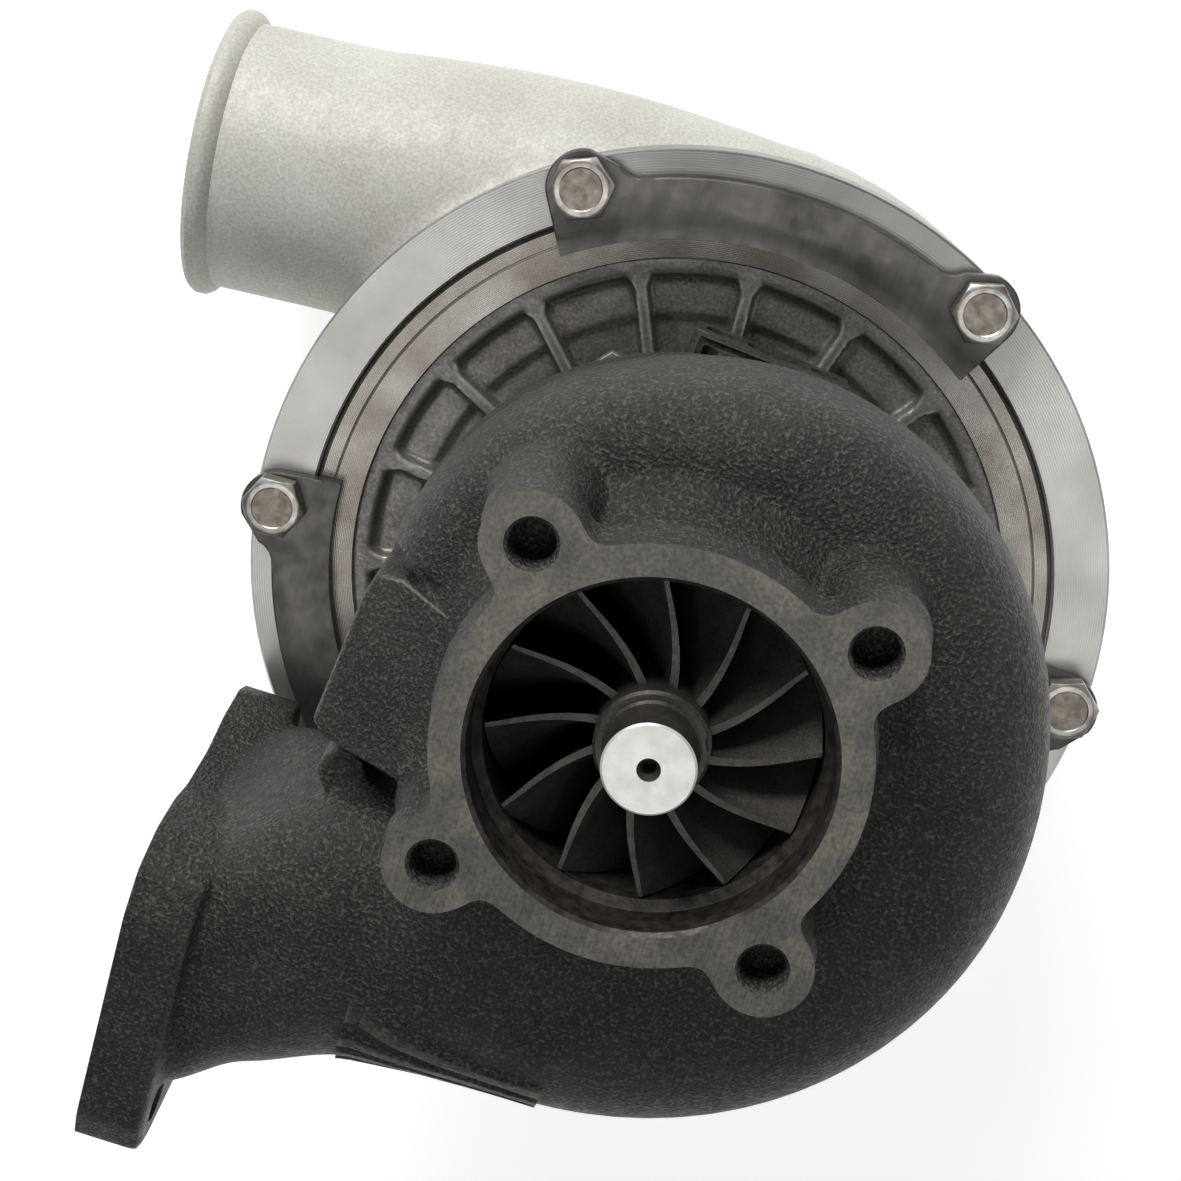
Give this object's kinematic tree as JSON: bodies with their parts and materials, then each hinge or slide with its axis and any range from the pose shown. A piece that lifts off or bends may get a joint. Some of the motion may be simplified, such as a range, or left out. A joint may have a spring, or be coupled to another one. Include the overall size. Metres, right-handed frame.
{
  "type": "turbocharger",
  "caption": "Journal-bearing exhaust turbocharger with a cast turbine housing, a bearing core and an aluminium compressor cover; the rotor spins freely.",
  "frame": {"origin": "under the middle of the whole object's box, on the plane of the compressor inlet's lip, on which it stands", "axes": "+Z along the shaft from the compressor inlet to the turbine outlet; -X out of the turbine's inlet flange; +Y towards the oil inlet, 4 degrees from it"},
  "size_m": [0.2404, 0.2354, 0.2164],
  "materials": {
    "cast_aluminium": "sand-cast aluminium, machined on the rim, lips and faces",
    "backplate_casting": "dark cast aluminium with a machined land",
    "rubber_seal": "black fluoroelastomer",
    "blackened_steel": "pressed steel plate, brown-black oxide finish",
    "stainless_bolt": "bright hexagon bolts",
    "compressor_nut": "bright hexagon lock nut",
    "centre_casting": "dark cast iron, machined ports",
    "bearing_bronze": "bearing bronze",
    "machined_steel": "ground steel",
    "heat_shield_steel": "thin pressed stainless sheet",
    "cast_iron": "coarse sand-cast iron, brown-black, with machined flange faces",
    "turbine_wheel_alloy": "investment-cast nickel alloy, matte dark brown-grey",
    "compressor_wheel_alloy": "milled aluminium"
  },
  "bodies": {
    "housing": {"compressor_housing": "cast_aluminium", "backplate": "backplate_casting", "backplate_o_ring": "rubber_seal", "centre_o_ring": "rubber_seal", "compressor_clamp_plate_1": "blackened_steel", "compressor_clamp_plate_2": "blackened_steel", "compressor_clamp_plate_3": "blackened_steel", "turbine_clamp_plate_1": "blackened_steel", "turbine_clamp_plate_2": "blackened_steel", "compressor_bolt_1": "stainless_bolt", "compressor_bolt_2": "stainless_bolt", "compressor_bolt_3": "stainless_bolt", "compressor_bolt_4": "stainless_bolt", "compressor_bolt_5": "stainless_bolt", "compressor_bolt_6": "stainless_bolt", "backplate_bolt_1": "stainless_bolt", "backplate_bolt_2": "stainless_bolt", "backplate_bolt_3": "stainless_bolt", "backplate_bolt_4": "stainless_bolt", "turbine_bolt_1": "stainless_bolt", "turbine_bolt_2": "stainless_bolt", "turbine_bolt_3": "stainless_bolt", "turbine_bolt_4": "stainless_bolt", "turbine_bolt_5": "stainless_bolt", "turbine_bolt_6": "stainless_bolt", "bearing_housing": "centre_casting", "thrust_bearing": "bearing_bronze", "oil_baffle": "machined_steel", "bearing_retaining_ring_1": "machined_steel", "bearing_retaining_ring_2": "machined_steel", "bearing_retaining_ring_3": "machined_steel", "bearing_retaining_ring_4": "machined_steel", "turbine_piston_ring": "machined_steel", "compressor_piston_ring": "machined_steel", "heat_shield": "heat_shield_steel", "turbine_housing": "cast_iron"},
    "rotor": {"turbine_wheel": "turbine_wheel_alloy", "rotor_shaft": "machined_steel", "thrust_collar": "machined_steel", "oil_sleeve": "machined_steel", "compressor_wheel": "compressor_wheel_alloy", "compressor_nut": "compressor_nut"},
    "compressor_journal": {"journal_bearing_compressor": "bearing_bronze"},
    "turbine_journal": {"journal_bearing_turbine": "bearing_bronze"}
  },
  "joints": [
    {"name": "rotor_spin", "type": "hinge", "parent": "housing", "child": "rotor", "pos_m": [0.0178, 0.01593, 0.088], "axis": [0, 0, 1], "continuous": true},
    {"name": "compressor_journal_spin", "type": "hinge", "parent": "housing", "child": "compressor_journal", "pos_m": [0.0178, 0.01593, 0.103], "axis": [0, 0, 1], "continuous": true},
    {"name": "turbine_journal_spin", "type": "hinge", "parent": "housing", "child": "turbine_journal", "pos_m": [0.0178, 0.01593, 0.1255], "axis": [0, 0, 1], "continuous": true}
  ]
}
